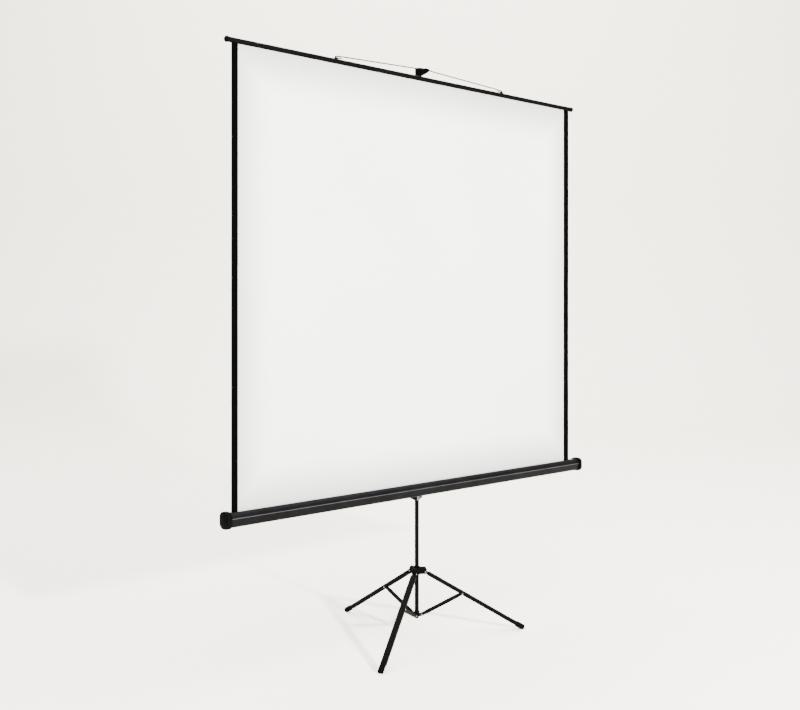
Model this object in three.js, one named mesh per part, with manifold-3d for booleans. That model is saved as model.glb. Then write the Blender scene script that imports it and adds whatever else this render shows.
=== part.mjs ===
// Tripod projection screen: a spring roller case carried on a telescopic mast with three folding legs.
// Millimetres, +Z up. X runs along the screen to the viewer's right, and the viewer stands at -Y.

import * as THREE from 'three';
import { mergeVertices } from 'three/addons/utils/BufferGeometryUtils.js';
import Module from 'manifold-3d';

const wasm = await Module();
wasm.setup();

// Clearances
const FIT = 0.3;              // pieces that sit on or run in each other
const OVERCUT = 1;            // how far a cut starts outside what it cuts
const DEG = Math.PI / 180;

// Mast: an outer tube that stands in the lower hub, and an extension that slides out of it
const MAST_R = 9.5;
const MAST_WALL = 1.5;
const MAST_TOP = 1500;
const EXTENSION_WALL = 1.2;
const EXTENSION_OVERLAP = 400;
const COLLAR_R = 14;
const COLLAR_HEIGHT = 46;
const COLLAR_RISE = 12;       // part of the collar above the outer tube
const COLLAR_CHAMFER = 3.5;
const BUTTON_R = 5;
const BUTTON_TRAVEL = 3;
const BUTTON_PROUD = 4.5;     // button outside its boss
const BUTTON_CHAMFER = 1.5;
const BUTTON_HEIGHT = 20;     // button axis above the collar's foot
const BUTTON_BOSS_WALL = 3;
const BUTTON_BOSS_REACH = 5;  // boss outside the collar

// Tripod: legs of steel channel, open below, which take in the struts when they fold
const LEG_AZIMUTHS = [-150, -30, 90];
const HUB_PIVOT_Z = 285;
const HUB_PIVOT_R = 38;
const HUB_SLEEVE_R = 15;
const HUB_BELOW = 9;          // hub sleeve below and above the leg pivots
const HUB_ABOVE = 19;
const HUB_EYE_R = 9;
const CROWN_R = 24;           // round plate that closes the hub over the leg pivots
const CROWN_LIFT = 7.5;
const CROWN_THICK = 8;
const CHEEK_GAP = 7.6;
const CHEEK_THICK = 5;
const LEG_ANGLE = 31.3;       // below the horizontal
const LEG_WIDTH = 25;
const LEG_DEPTH = 17;
const LEG_CORNER = 7;
const LEG_WALL = 1.6;
const LEG_RIB_R = 1.5;
const LEG_RIB_PROUD = 1.1;
const TONGUE_THICK = 7;
const TONGUE_R = 6.5;
const TONGUE_REACH = 32;      // end of the solid part that carries the tongue
const LEG_START = 16;         // channel's upper end, from the pivot
const FOOT_R = 10.5;
const FOOT_LENGTH = 40;       // rubber tip outside the leg
const FOOT_EDGE_R = 4;
const FOOT_NECK_R = 7.8;
const FOOT_NECK = 4;
const FOOT_PLUG = 24;
const FOOT_FLAT_CUT = 1.2;    // depth of the flat on the tip's edge
const STRUT_SEAT = 200;       // hub pivot to strut pivot, along the leg
const STRUT_DROP = 4;         // strut pivot below the leg's axis
const STRUT_DEPTH = 15;
const STRUT_END_R = 6;
const STRUT_NECK = 15;        // narrow end of a strut, and where it has its full depth
const STRUT_SHOULDER = 24;
const STRUT_WALL = 1.5;
const STRUT_FORK = 62;        // open stretch at the lower end, which passes the lower hub's ear
const EAR_THICK = 6;
const EAR_R = 7;
const CLIP_LENGTH = 26;       // spacer in the leg that holds the strut in the middle
const CLIP_TOP = 2.5;
const LOWER_PIVOT_Z = 95;
const LOWER_PIVOT_R = 21;
const LOWER_HUB_R = 12;
const LOWER_HUB_BELOW = 15;
const LOWER_HUB_ABOVE = 17;
const LOWER_HUB_FLOOR = 10;
const LOWER_HUB_TAPER = 4.5;  // how much narrower the hub's bottom is, and how high the taper goes
const LOWER_HUB_TAPER_RISE = 14;
const RIVET_R = 2.4;
const RIVET_HEAD_R = 4.4;
const RIVET_CROWN_R = 3.2;
const RIVET_HEAD = 1.8;

// Screen: the fabric hangs in one plane in front of the mast
const FABRIC_Y = -52;
const FABRIC_WIDTH = 2000;
const FABRIC_THICK = 0.8;
const BORDER_WIDTH = 30;
const RAIL_Z = 2464;
const RAIL_R = 10.4;
const RAIL_WALL = 1.5;
const RAIL_OVERHANG = 16;     // rail past the fabric at each side
const RAIL_SLOT = 2.4;
const RAIL_CAP_R = 12.3;
const RAIL_CAP = 14;
const RAIL_CAP_STRAIGHT = 5;
const RAIL_PLUG = 4.5;
const HEM_R = 3.2;
const EYELET_X = 500;
const EYELET_THICK = 3;
const EYELET_R = 4.2;
const EYELET_HOLE_R = 2.2;
const EYELET_RISE = 4;        // hole above the top of the rail
const EYELET_BASE_LENGTH = 16;
const EYELET_BASE_DEPTH = 9;
const EYELET_BASE_HEIGHT = 2; // above and below the top of the rail
const WIRE_R = 1.5;
const WIRE_RISE = 44;         // wire in the hook, above the rail's axis
const WIRE_LOOP_GAP = 1;      // wire over the eyelet
const HOOK_THICK = 10;
const HOOK_SLEEVE_R = 10.5;
const HOOK_SLEEVE = 50;
const HOOK_TOP_RISE = 51;
const HOOK_STEM_HALF = 9;
const HOOK_STEM_SINK = 6;     // stem inside the sleeve
const HOOK_CROWN_R = 12;
const HOOK_SEAT_R = 2.5;      // hollow that the wire lies in
const HOOK_MOUTH = 12;        // slope behind the wire
const HOOK_LIP = 5;           // lip in front of the wire
const HOOK_LIP_RISE = 6.5;
const HOOK_NOSE = 14;
const HOOK_TIP_REACH = 26;    // beak in front of the fabric plane
const HOOK_TIP_DROP = 13;
const HOOK_THROAT_DROP = 28;  // underside of the beak below the hook's top
const HOOK_THROAT_REACH = 18; // behind the fabric plane

// Case with its spring roller
const CASE_Z = 663;
const CASE_OVERHANG_LEFT = 34;  // case past the fabric, longer where the spring is
const CASE_OVERHANG_RIGHT = 74;
const CASE_DEPTH = 50;
const CASE_HEIGHT = 55;
const CASE_BACK_R = 19;       // round edges at the back
const CASE_LAND = 9;          // flat top in front of the fabric
const CASE_RIDGE = 6;         // ridge on the front, above the roller's axis
const CASE_SHOULDER = 5;      // bulge of the slope between land and ridge
const CASE_TUCK = 3;          // front face leaning in below the ridge
const CASE_FOOT_R = 10;       // round lower edge of the front
const CASE_WALL = 1.6;
const CASE_SLOT = 7;
const CASE_RIB_R = 1.3;
const CASE_RIB_PROUD = 1;
const CAP_PROUD = 5;
const CAP_CORNER = 22;
const CAP_SKIRT = 22;
const CAP_CHAMFER = 2.5;
const CAP_WALL = 4;
const CAP_BOSS_R = 9;
const CAP_BOSS = 7;
const CAP_PIN_DEPTH = 2;      // pin's blind hole in the cap's wall
const ROLLER_R = 15;
const ROLLER_WALL = 1.2;
const ROLLER_OVERHANG = 6;
const PLUG_LENGTH = 22;
const PLUG_FLANGE = 3;
const PIN_R = 4;
const PIN_PLAY = 0.4;         // the pins' running clearance in the roller plugs
const SPINDLE_REACH = 230;    // spindle inside the roller tube
const SPRING_WIRE_R = 1;
const SPRING_TURNS = 14;
const SPRING_PITCH = 10;
const SPRING_START = 6;       // spring's first turn from the spindle's end
const WOUND_R = 17.5;

// Carriage that holds the case on the mast
const CARRIAGE_R = 14.5;
const CARRIAGE_BELOW = 56;
const CARRIAGE_ABOVE = 26;
const FACE_HALF = 17;         // half width of the face that the case swings on
const FACE_CORNER = 4;
const GUSSET_REACH = 62;      // gusset to the left, below the case
const GUSSET_DEPTH = 9;
const GUSSET_ROOT = 18.5;
const BRACKET_PLATE = 4;
const BRACKET_HALF = 60;
const BRACKET_HEIGHT = 36;
const BRACKET_CORNER = 8;
const PIVOT_R = 4.5;
const PIVOT_HEAD_R = 8;
const PIVOT_HEAD = 2;
const PIVOT_DEPTH = 5;        // pivot shank inside the carriage
const KNOB_DROP = 47;         // lock screw below the case axis
const KNOB_SCREW_R = 2.6;
const KNOB_R = 6.5;
const KNOB_LENGTH = 12;
const KNOB_CHAMFER = 1;
const KNOB_BOSS = 3;          // boss outside the carriage's sleeve
const PLATE_LEFT = -17;       // bright catch plate on the carriage's front
const PLATE_RIGHT = -3;
const PLATE_HALF_HEIGHT = 9;
const PLATE_THICK = 2;
const PLATE_SEAT = 3;         // boss under the plate, in front of the sleeve
const PLATE_STUD_R = 2;

// Facets
const ROUND = 20;             // of a round piece
const SMALL_ROUND = 16;       // of pins, rubber tips and the lock screw
const RIVET_ROUND = 12;       // of rivets, small holes and the hem
const RIB_ROUND = 8;
const WIRE_ROUND = 6;
const WIRE_STEPS = 96;
const SPRING_ROUND = 5;
const SPRING_STEPS = 8;       // in each turn
const CORNER_STEPS = 5;       // of a rounded corner

// Solids

function solid(geometry) {
  const bare = geometry.clone();
  bare.deleteAttribute('normal');
  bare.deleteAttribute('uv');
  const welded = mergeVertices(bare, 1e-4);
  const index = welded.index.array;
  const triVerts = [];
  for (let i = 0; i < index.length; i += 3) {
    const [a, b, c] = [index[i], index[i + 1], index[i + 2]];
    if (a !== b && b !== c && a !== c) triVerts.push(a, b, c);
  }
  return new wasm.Manifold(new wasm.Mesh({
    numProp: 3,
    vertProperties: new Float32Array(welded.attributes.position.array),
    triVerts: new Uint32Array(triVerts),
  }));
}

function geometryOf(manifold) {
  const mesh = manifold.getMesh();
  const geometry = new THREE.BufferGeometry();
  geometry.setAttribute('position', new THREE.BufferAttribute(mesh.vertProperties, 3));
  geometry.setIndex(new THREE.BufferAttribute(mesh.triVerts, 1));
  geometry.computeVertexNormals();
  return geometry;
}

function join(...geometries) {
  return geometryOf(geometries.map(solid).reduce((all, next) => all.add(next)));
}

function cut(geometry, ...tools) {
  return geometryOf(tools.map(solid).reduce((rest, tool) => rest.subtract(tool), solid(geometry)));
}

// A piece turned about Z from its profile of (radius, height) points, listed upwards
function turned(profile, facets = ROUND) {
  const points = profile.map(([r, h]) => new THREE.Vector2(r, h));
  return new THREE.LatheGeometry(points, facets).rotateX(Math.PI / 2);
}

function rod(radius, from, to, facets = ROUND) {
  return turned([[0, from], [radius, from], [radius, to], [0, to]], facets);
}

function pipe(outer, inner, from, to, facets = ROUND) {
  return turned([[inner, from], [outer, from], [outer, to], [inner, to], [inner, from]], facets);
}

function alongX(geometry) {
  return geometry.rotateY(Math.PI / 2);
}

function alongY(geometry) {
  return geometry.rotateX(-Math.PI / 2);
}

function block(x0, x1, y0, y1, z0, z1) {
  const box = new THREE.BoxGeometry(x1 - x0, y1 - y0, z1 - z0);
  return box.translate((x0 + x1) / 2, (y0 + y1) / 2, (z0 + z1) / 2);
}

function extrude(shape, depth) {
  return new THREE.ExtrudeGeometry(shape, { depth, bevelEnabled: false, curveSegments: CORNER_STEPS });
}

// An extruded (y, z) outline turned to lie along X
function standUp(geometry) {
  return geometry.applyMatrix4(new THREE.Matrix4().makeBasis(
    new THREE.Vector3(0, 1, 0), new THREE.Vector3(0, 0, 1), new THREE.Vector3(1, 0, 0)));
}

// A (y, z) outline drawn out along X
function alongScreen(shape, x0, x1) {
  return standUp(extrude(shape, x1 - x0)).translate(x0, 0, 0);
}

// An (x, z) outline of a plate between two planes of Y
function plate(shape, y0, y1) {
  const turn = new THREE.Matrix4().makeBasis(
    new THREE.Vector3(1, 0, 0), new THREE.Vector3(0, 0, 1), new THREE.Vector3(0, -1, 0));
  return extrude(shape, y1 - y0).applyMatrix4(turn).translate(0, y1, 0);
}

function polygon(points) {
  return new THREE.Shape(points.map(([u, v]) => new THREE.Vector2(u, v)));
}

function roundedRectangle(width, height, radius) {
  const [w, h] = [width / 2 - radius, height / 2 - radius];
  const shape = new THREE.Shape();
  shape.absarc(w, h, radius, 0, Math.PI / 2);
  shape.absarc(-w, h, radius, Math.PI / 2, Math.PI);
  shape.absarc(-w, -h, radius, Math.PI, 1.5 * Math.PI);
  shape.absarc(w, -h, radius, 1.5 * Math.PI, 2 * Math.PI);
  return shape;
}

// An oval link outline round two points of one plane
function link(u0, v0, u1, v1, radius) {
  const along = Math.atan2(v1 - v0, u1 - u0);
  const shape = new THREE.Shape();
  shape.absarc(u1, v1, radius, along - Math.PI / 2, along + Math.PI / 2);
  shape.absarc(u0, v0, radius, along + Math.PI / 2, along + 1.5 * Math.PI);
  return shape;
}

// Materials

const finish = (color, roughness, metalness) => ({ color, roughness, metalness });
const BLACK_TUBE = finish(0x17181a, 0.38, 0.5);
const BLACK_PLASTIC = finish(0x1b1b1c, 0.55, 0);
const CASE_PAINT = finish(0x333436, 0.42, 0.4);
const BRIGHT_STEEL = finish(0xb9bcc0, 0.28, 1);
const WIRE_STEEL = finish(0x8b8e92, 0.35, 1);
const WHITE_FABRIC = finish(0xeeeeea, 0.9, 0);
const BLACK_FABRIC = finish(0x0d0d0e, 0.9, 0);

const screen = new THREE.Group();

function piece(parent, name, geometry, material) {
  const mesh = new THREE.Mesh(geometry, new THREE.MeshStandardMaterial(material));
  mesh.name = name;
  parent.add(mesh);
  return mesh;
}

// Mast

const lowerBottom = LOWER_PIVOT_Z - LOWER_HUB_BELOW;
const mastBottom = lowerBottom + LOWER_HUB_FLOOR + FIT;
const mastBore = MAST_R - MAST_WALL;
const extensionR = mastBore - FIT;
const hookSleeveTop = RAIL_Z - RAIL_R;
const extensionTop = hookSleeveTop - HOOK_THICK;

piece(screen, 'mast_tube', pipe(MAST_R, mastBore, mastBottom, MAST_TOP), BLACK_TUBE);
piece(screen, 'mast_extension',
  pipe(extensionR, extensionR - EXTENSION_WALL, MAST_TOP - EXTENSION_OVERLAP, extensionTop), BLACK_TUBE);

const collarTop = MAST_TOP + COLLAR_RISE;
const collarFoot = collarTop - COLLAR_HEIGHT;
const collarStep = MAST_TOP + FIT;
const buttonZ = collarFoot + BUTTON_HEIGHT;
const bossFace = COLLAR_R + BUTTON_BOSS_REACH;
const collarBody = turned([
  [MAST_R + FIT, collarFoot],
  [COLLAR_R, collarFoot],
  [COLLAR_R, collarTop - COLLAR_CHAMFER],
  [COLLAR_R - COLLAR_CHAMFER, collarTop],
  [extensionR + FIT, collarTop],
  [extensionR + FIT, collarStep],
  [MAST_R + FIT, collarStep],
  [MAST_R + FIT, collarFoot],
]);
const buttonBoss = alongY(rod(BUTTON_R + BUTTON_BOSS_WALL, MAST_R, bossFace)).translate(0, 0, buttonZ);
const mastPassage = rod(MAST_R + FIT, collarFoot - OVERCUT, collarStep);
const buttonHole = alongY(rod(BUTTON_R + FIT, MAST_R, bossFace + OVERCUT)).translate(0, 0, buttonZ);
piece(screen, 'mast_collar', cut(join(collarBody, buttonBoss), mastPassage, buttonHole), BLACK_PLASTIC);

// The catch button stands in the collar, with room for its travel before it meets the tube
const buttonRoot = MAST_R + FIT + BUTTON_TRAVEL;
const buttonTop = bossFace + BUTTON_PROUD;
piece(screen, 'catch_button', alongY(turned([
  [0, buttonRoot],
  [BUTTON_R, buttonRoot],
  [BUTTON_R, buttonTop - BUTTON_CHAMFER],
  [BUTTON_R - BUTTON_CHAMFER, buttonTop],
  [0, buttonTop],
])).translate(0, 0, buttonZ), BLACK_PLASTIC);

// Hook head on the extension, reaching over the rail to hold the wire
const hookTop = RAIL_Z + HOOK_TOP_RISE;
const wireZ = RAIL_Z + WIRE_RISE;
const seatZ = wireZ - WIRE_R - FIT + HOOK_SEAT_R;
const stemFoot = hookSleeveTop - HOOK_STEM_SINK;
const throatZ = hookTop - HOOK_THROAT_DROP;
const hookOutline = new THREE.Shape();
hookOutline.moveTo(HOOK_STEM_HALF, stemFoot);
hookOutline.lineTo(HOOK_STEM_HALF, hookTop - HOOK_CROWN_R);
hookOutline.absarc(HOOK_STEM_HALF - HOOK_CROWN_R, hookTop - HOOK_CROWN_R, HOOK_CROWN_R, 0, Math.PI / 2);
hookOutline.lineTo(FABRIC_Y + HOOK_MOUTH, hookTop);
hookOutline.lineTo(FABRIC_Y + HOOK_SEAT_R, seatZ);
hookOutline.absarc(FABRIC_Y, seatZ, HOOK_SEAT_R, 0, Math.PI, true);
hookOutline.lineTo(FABRIC_Y - HOOK_LIP, seatZ - HOOK_SEAT_R + HOOK_LIP_RISE);
hookOutline.quadraticCurveTo(FABRIC_Y - HOOK_NOSE, hookTop,
  FABRIC_Y - HOOK_TIP_REACH, hookTop - HOOK_TIP_DROP);
hookOutline.quadraticCurveTo(FABRIC_Y, throatZ, FABRIC_Y + HOOK_THROAT_REACH, throatZ);
hookOutline.quadraticCurveTo(-HOOK_STEM_HALF, throatZ, -HOOK_STEM_HALF, stemFoot);
const hookSleeve = rod(HOOK_SLEEVE_R, hookSleeveTop - HOOK_SLEEVE, hookSleeveTop);
const hookSocket = rod(extensionR + FIT, hookSleeveTop - HOOK_SLEEVE - OVERCUT, extensionTop + FIT);
const hookPlate = alongScreen(hookOutline, -HOOK_THICK / 2, HOOK_THICK / 2);
piece(screen, 'hook_head', cut(join(hookSleeve, hookPlate), hookSocket), BLACK_PLASTIC);

// Tripod hubs, with an eye for each leg and an ear for each strut

function around(build) {
  return LEG_AZIMUTHS.map((azimuth) => build().rotateZ(azimuth * DEG));
}

const cheekInner = CHEEK_GAP / 2;
const cheekOuter = cheekInner + CHEEK_THICK;
const crownFoot = HUB_PIVOT_Z + CROWN_LIFT;
const hubEyeFoot = HUB_PIVOT_Z - HUB_EYE_R;
const hubSleeve = rod(HUB_SLEEVE_R, HUB_PIVOT_Z - HUB_BELOW, HUB_PIVOT_Z + HUB_ABOVE);
const hubEye = () => plate(link(0, HUB_PIVOT_Z, HUB_PIVOT_R, HUB_PIVOT_Z, HUB_EYE_R),
  -cheekOuter, cheekOuter);
const hubCrown = rod(CROWN_R, crownFoot, crownFoot + CROWN_THICK);
const crownLobe = () => extrude(link(0, 0, HUB_PIVOT_R, 0, HUB_EYE_R), CROWN_THICK)
  .translate(0, 0, crownFoot);
const hubSlot = () => block(HUB_SLEEVE_R + FIT, HUB_PIVOT_R + HUB_EYE_R + OVERCUT, -cheekInner, cheekInner,
  hubEyeFoot - OVERCUT, crownFoot);
const hubPinHole = () => alongY(rod(RIVET_R + FIT, -cheekOuter - OVERCUT, cheekOuter + OVERCUT, RIVET_ROUND))
  .translate(HUB_PIVOT_R, 0, HUB_PIVOT_Z);
const hubBore = rod(MAST_R + FIT, hubEyeFoot - OVERCUT, HUB_PIVOT_Z + HUB_ABOVE + OVERCUT);
piece(screen, 'tripod_hub', cut(join(hubSleeve, hubCrown, ...around(hubEye), ...around(crownLobe)),
  ...around(hubSlot), ...around(hubPinHole), hubBore), BLACK_PLASTIC);

const lowerTop = LOWER_PIVOT_Z + LOWER_HUB_ABOVE;
const lowerSleeve = turned([
  [0, lowerBottom],
  [LOWER_HUB_R - LOWER_HUB_TAPER, lowerBottom],
  [LOWER_HUB_R, lowerBottom + LOWER_HUB_TAPER_RISE],
  [LOWER_HUB_R, lowerTop],
  [0, lowerTop],
]);
const lowerEar = () => plate(link(0, LOWER_PIVOT_Z, LOWER_PIVOT_R, LOWER_PIVOT_Z, EAR_R),
  -EAR_THICK / 2, EAR_THICK / 2);
const mastSocket = rod(MAST_R + FIT, lowerBottom + LOWER_HUB_FLOOR, lowerTop + OVERCUT);
piece(screen, 'lower_hub', cut(join(lowerSleeve, ...around(lowerEar)), mastSocket), BLACK_PLASTIC);

// Legs, struts and feet

const legAngle = LEG_ANGLE * DEG;
const edgeRing = FOOT_R - FOOT_EDGE_R;
const edgeDrop = HUB_PIVOT_Z + FOOT_FLAT_CUT - FOOT_EDGE_R;
const edgeReach = (edgeDrop - edgeRing * Math.cos(legAngle)) / Math.sin(legAngle);
const footEnd = edgeReach + FOOT_EDGE_R;
const legEnd = footEnd - FOOT_LENGTH;
const strutPivot = new THREE.Vector2(
  HUB_PIVOT_R + STRUT_SEAT * Math.cos(legAngle) - STRUT_DROP * Math.sin(legAngle),
  HUB_PIVOT_Z - STRUT_SEAT * Math.sin(legAngle) - STRUT_DROP * Math.cos(legAngle));
const strutRun = new THREE.Vector2(LOWER_PIVOT_R, LOWER_PIVOT_Z).sub(strutPivot);
const strutLength = strutRun.length();
const strutInner = EAR_THICK / 2 + FIT;
const strutOuter = strutInner + STRUT_WALL;
const channelTop = LEG_DEPTH / 2 - LEG_WALL;

// A leg's channel: rounded along its top edges, open below between two flanges
function channelOutline(grow, foot) {
  const [w, h, r] = [LEG_WIDTH / 2 + grow, LEG_DEPTH / 2 + grow, LEG_CORNER + grow];
  const shape = new THREE.Shape();
  shape.moveTo(w, foot);
  shape.lineTo(w, h - r);
  shape.absarc(w - r, h - r, r, 0, Math.PI / 2);
  shape.absarc(r - w, h - r, r, Math.PI / 2, Math.PI);
  shape.lineTo(-w, foot);
  return shape;
}

function crossHole(x, z, reach) {
  return alongY(rod(RIVET_R + FIT, -reach, reach, RIVET_ROUND)).translate(x, 0, z);
}

function legChannel() {
  const foot = -LEG_DEPTH / 2;
  const ribZ = LEG_DEPTH / 2 + LEG_RIB_PROUD - LEG_RIB_R;
  const rib = alongX(rod(LEG_RIB_R, LEG_START, legEnd, RIB_ROUND)).translate(0, 0, ribZ);
  const outside = join(alongScreen(channelOutline(0, foot), LEG_START, legEnd), rib);
  const hollow = alongScreen(channelOutline(-LEG_WALL, foot - OVERCUT), TONGUE_REACH, legEnd + OVERCUT);
  const tongue = plate(link(0, 0, TONGUE_REACH - TONGUE_R, 0, TONGUE_R), -TONGUE_THICK / 2, TONGUE_THICK / 2);
  return cut(join(cut(outside, hollow), tongue),
    crossHole(0, 0, TONGUE_THICK), crossHole(STRUT_SEAT, -STRUT_DROP, LEG_WIDTH));
}

// The spacer fills the channel beside the strut, so that the rivet holds the strut in the middle
function strutClip() {
  const [x0, x1] = [STRUT_SEAT - CLIP_LENGTH / 2, STRUT_SEAT + CLIP_LENGTH / 2];
  const filling = alongScreen(channelOutline(-LEG_WALL - FIT, -LEG_DEPTH / 2), x0, x1);
  const slotHalf = strutOuter + FIT;
  const slotTop = channelTop - FIT - CLIP_TOP;
  const slot = block(x0 - OVERCUT, x1 + OVERCUT, -slotHalf, slotHalf, -LEG_DEPTH, slotTop);
  return cut(filling, slot, crossHole(STRUT_SEAT, -STRUT_DROP, LEG_WIDTH));
}

// Rubber tip: a plug in the channel, a neck, and a tip with a round edge that stands flat on the floor
function footTip(legMatrix) {
  const plugR = channelTop - FIT;
  const profile = [
    [0, legEnd - FOOT_PLUG],
    [plugR, legEnd - FOOT_PLUG],
    [plugR, legEnd + FIT],
    [FOOT_NECK_R, legEnd + FIT],
    [FOOT_NECK_R, legEnd + FOOT_NECK],
    [FOOT_R, legEnd + FOOT_NECK],
  ];
  for (let step = 0; step <= CORNER_STEPS; step += 1) {
    const angle = (step / CORNER_STEPS) * (Math.PI / 2);
    profile.push([edgeRing + FOOT_EDGE_R * Math.cos(angle), edgeReach + FOOT_EDGE_R * Math.sin(angle)]);
  }
  profile.push([0, footEnd]);
  const reach = HUB_PIVOT_R + 2 * footEnd;
  const ground = block(0, reach, -LEG_WIDTH, LEG_WIDTH, -LEG_WIDTH, 0);
  return cut(alongX(turned(profile, SMALL_ROUND)), ground.applyMatrix4(legMatrix.clone().invert()));
}

// A rivet across a pack of plates between two planes of Y, with a head at each side
function rivet(from, to) {
  const [near, far] = [from - FIT, to + FIT];
  return alongY(turned([
    [0, near - RIVET_HEAD],
    [RIVET_CROWN_R, near - RIVET_HEAD],
    [RIVET_HEAD_R, near - RIVET_HEAD / 2],
    [RIVET_HEAD_R, near],
    [RIVET_R, near],
    [RIVET_R, far],
    [RIVET_HEAD_R, far],
    [RIVET_HEAD_R, far + RIVET_HEAD / 2],
    [RIVET_CROWN_R, far + RIVET_HEAD],
    [0, far + RIVET_HEAD],
  ], RIVET_ROUND));
}

// A strut from its upper pivot to its lower one: two flanges, joined along their upper edge by a web
function strutChannel() {
  const half = STRUT_DEPTH / 2;
  const ends = [STRUT_NECK, STRUT_SHOULDER, strutLength - STRUT_SHOULDER, strutLength - STRUT_NECK];
  const outline = new THREE.Shape();
  outline.absarc(0, 0, STRUT_END_R, Math.PI / 2, 1.5 * Math.PI);
  outline.lineTo(ends[0], -STRUT_END_R);
  outline.lineTo(ends[1], -half);
  outline.lineTo(ends[2], -half);
  outline.lineTo(ends[3], -STRUT_END_R);
  outline.absarc(strutLength, 0, STRUT_END_R, -Math.PI / 2, Math.PI / 2);
  outline.lineTo(ends[3], STRUT_END_R);
  outline.lineTo(ends[2], half);
  outline.lineTo(ends[1], half);
  outline.lineTo(ends[0], STRUT_END_R);
  const [start, end] = [-STRUT_END_R - OVERCUT, strutLength + STRUT_END_R + OVERCUT];
  const between = (x0, x1, z0) => block(x0, x1, -strutInner, strutInner, z0, half + OVERCUT);
  return cut(plate(outline, -strutOuter, strutOuter),
    between(start, end, STRUT_WALL - half),
    between(start, STRUT_SHOULDER, -half - OVERCUT),
    between(strutLength - STRUT_FORK, end, -half - OVERCUT),
    crossHole(0, 0, LEG_WIDTH),
    crossHole(strutLength, 0, LEG_WIDTH));
}

// The rivet at a strut's lower end is headed on the outside and flush where the strut meets the hub's ear
function lowerRivet() {
  const outside = strutOuter + FIT;
  return alongY(turned([
    [0, strutInner],
    [RIVET_R, strutInner],
    [RIVET_R, outside],
    [RIVET_HEAD_R, outside],
    [RIVET_HEAD_R, outside + RIVET_HEAD / 2],
    [RIVET_CROWN_R, outside + RIVET_HEAD],
    [0, outside + RIVET_HEAD],
  ], RIVET_ROUND));
}

LEG_AZIMUTHS.forEach((azimuth, i) => {
  const arm = new THREE.Group();
  arm.rotation.z = azimuth * DEG;
  screen.add(arm);

  const leg = new THREE.Group();
  leg.position.set(HUB_PIVOT_R, 0, HUB_PIVOT_Z);
  leg.rotation.y = legAngle;
  leg.updateMatrix();
  arm.add(leg);
  piece(leg, `leg_${i + 1}`, legChannel(), BLACK_TUBE);
  piece(leg, `foot_${i + 1}`, footTip(leg.matrix), BLACK_PLASTIC);
  piece(leg, `leg_bracket_${i + 1}`, strutClip(), BLACK_PLASTIC);
  piece(leg, `strut_rivet_${i + 1}`, rivet(-LEG_WIDTH / 2, LEG_WIDTH / 2), BRIGHT_STEEL)
    .position.set(STRUT_SEAT, 0, -STRUT_DROP);

  const strut = new THREE.Group();
  strut.position.set(strutPivot.x, 0, strutPivot.y);
  strut.rotation.y = -Math.atan2(strutRun.y, strutRun.x);
  arm.add(strut);
  piece(strut, `strut_${i + 1}`, strutChannel(), BLACK_TUBE);
  const end = piece(strut, `lower_rivet_${i + 1}`, lowerRivet(), BRIGHT_STEEL);
  end.position.x = strutLength;
  end.rotation.x = Math.cos(azimuth * DEG) > 0.5 ? Math.PI : 0;   // its head is to the front

  piece(arm, `hub_rivet_${i + 1}`,
    rivet(-cheekOuter, cheekOuter).translate(HUB_PIVOT_R, 0, HUB_PIVOT_Z), BRIGHT_STEEL);
});

// Case: a shell with a flat back, a ridged front and a slot along its top, and a cap at each end

const caseLeft = -FABRIC_WIDTH / 2 - CASE_OVERHANG_LEFT;
const caseRight = FABRIC_WIDTH / 2 + CASE_OVERHANG_RIGHT;
const caseTop = CASE_Z + CASE_HEIGHT / 2;
const caseBottom = CASE_Z - CASE_HEIGHT / 2;

function caseOutline(grow) {
  const [d, h, back] = [CASE_DEPTH / 2 + grow, CASE_HEIGHT / 2 + grow, CASE_BACK_R + grow];
  const front = -d + CASE_TUCK;
  const shape = new THREE.Shape();
  shape.moveTo(-CASE_LAND, h);
  shape.quadraticCurveTo(-d + CASE_SHOULDER, h - CASE_SHOULDER, -d, CASE_RIDGE);
  shape.lineTo(front, CASE_FOOT_R - h);
  shape.quadraticCurveTo(front, -h, front + CASE_FOOT_R, -h);
  shape.absarc(d - back, back - h, back, -Math.PI / 2, 0);
  shape.absarc(d - back, h - back, back, 0, Math.PI / 2);
  return shape;
}
const caseProfile = (grow, x0, x1) => alongScreen(caseOutline(grow), x0, x1).translate(0, FABRIC_Y, CASE_Z);
const shellLeft = caseLeft + CAP_WALL + FIT;
const shellRight = caseRight - CAP_WALL - FIT;

// Rolled ribs at the ridge and at the foot of the front face
const frontY = FABRIC_Y - CASE_DEPTH / 2;
const ribDepth = CASE_RIB_R - CASE_RIB_PROUD;
const ribPlaces = [[frontY, CASE_RIDGE], [frontY + CASE_TUCK, CASE_FOOT_R - CASE_HEIGHT / 2]];
const frontRibs = ribPlaces.map(([y, rise]) => (
  alongX(rod(CASE_RIB_R, caseLeft + CAP_SKIRT + FIT, caseRight - CAP_SKIRT - FIT, RIB_ROUND))
    .translate(0, y + ribDepth, CASE_Z + rise)));
const shellSlot = block(shellLeft - OVERCUT, shellRight + OVERCUT,
  FABRIC_Y - CASE_SLOT / 2, FABRIC_Y + CASE_SLOT / 2, CASE_Z, caseTop + OVERCUT);
piece(screen, 'case_shell', cut(join(caseProfile(0, shellLeft, shellRight), ...frontRibs),
  caseProfile(-CASE_WALL, shellLeft - OVERCUT, shellRight + OVERCUT), shellSlot), CASE_PAINT);

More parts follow.
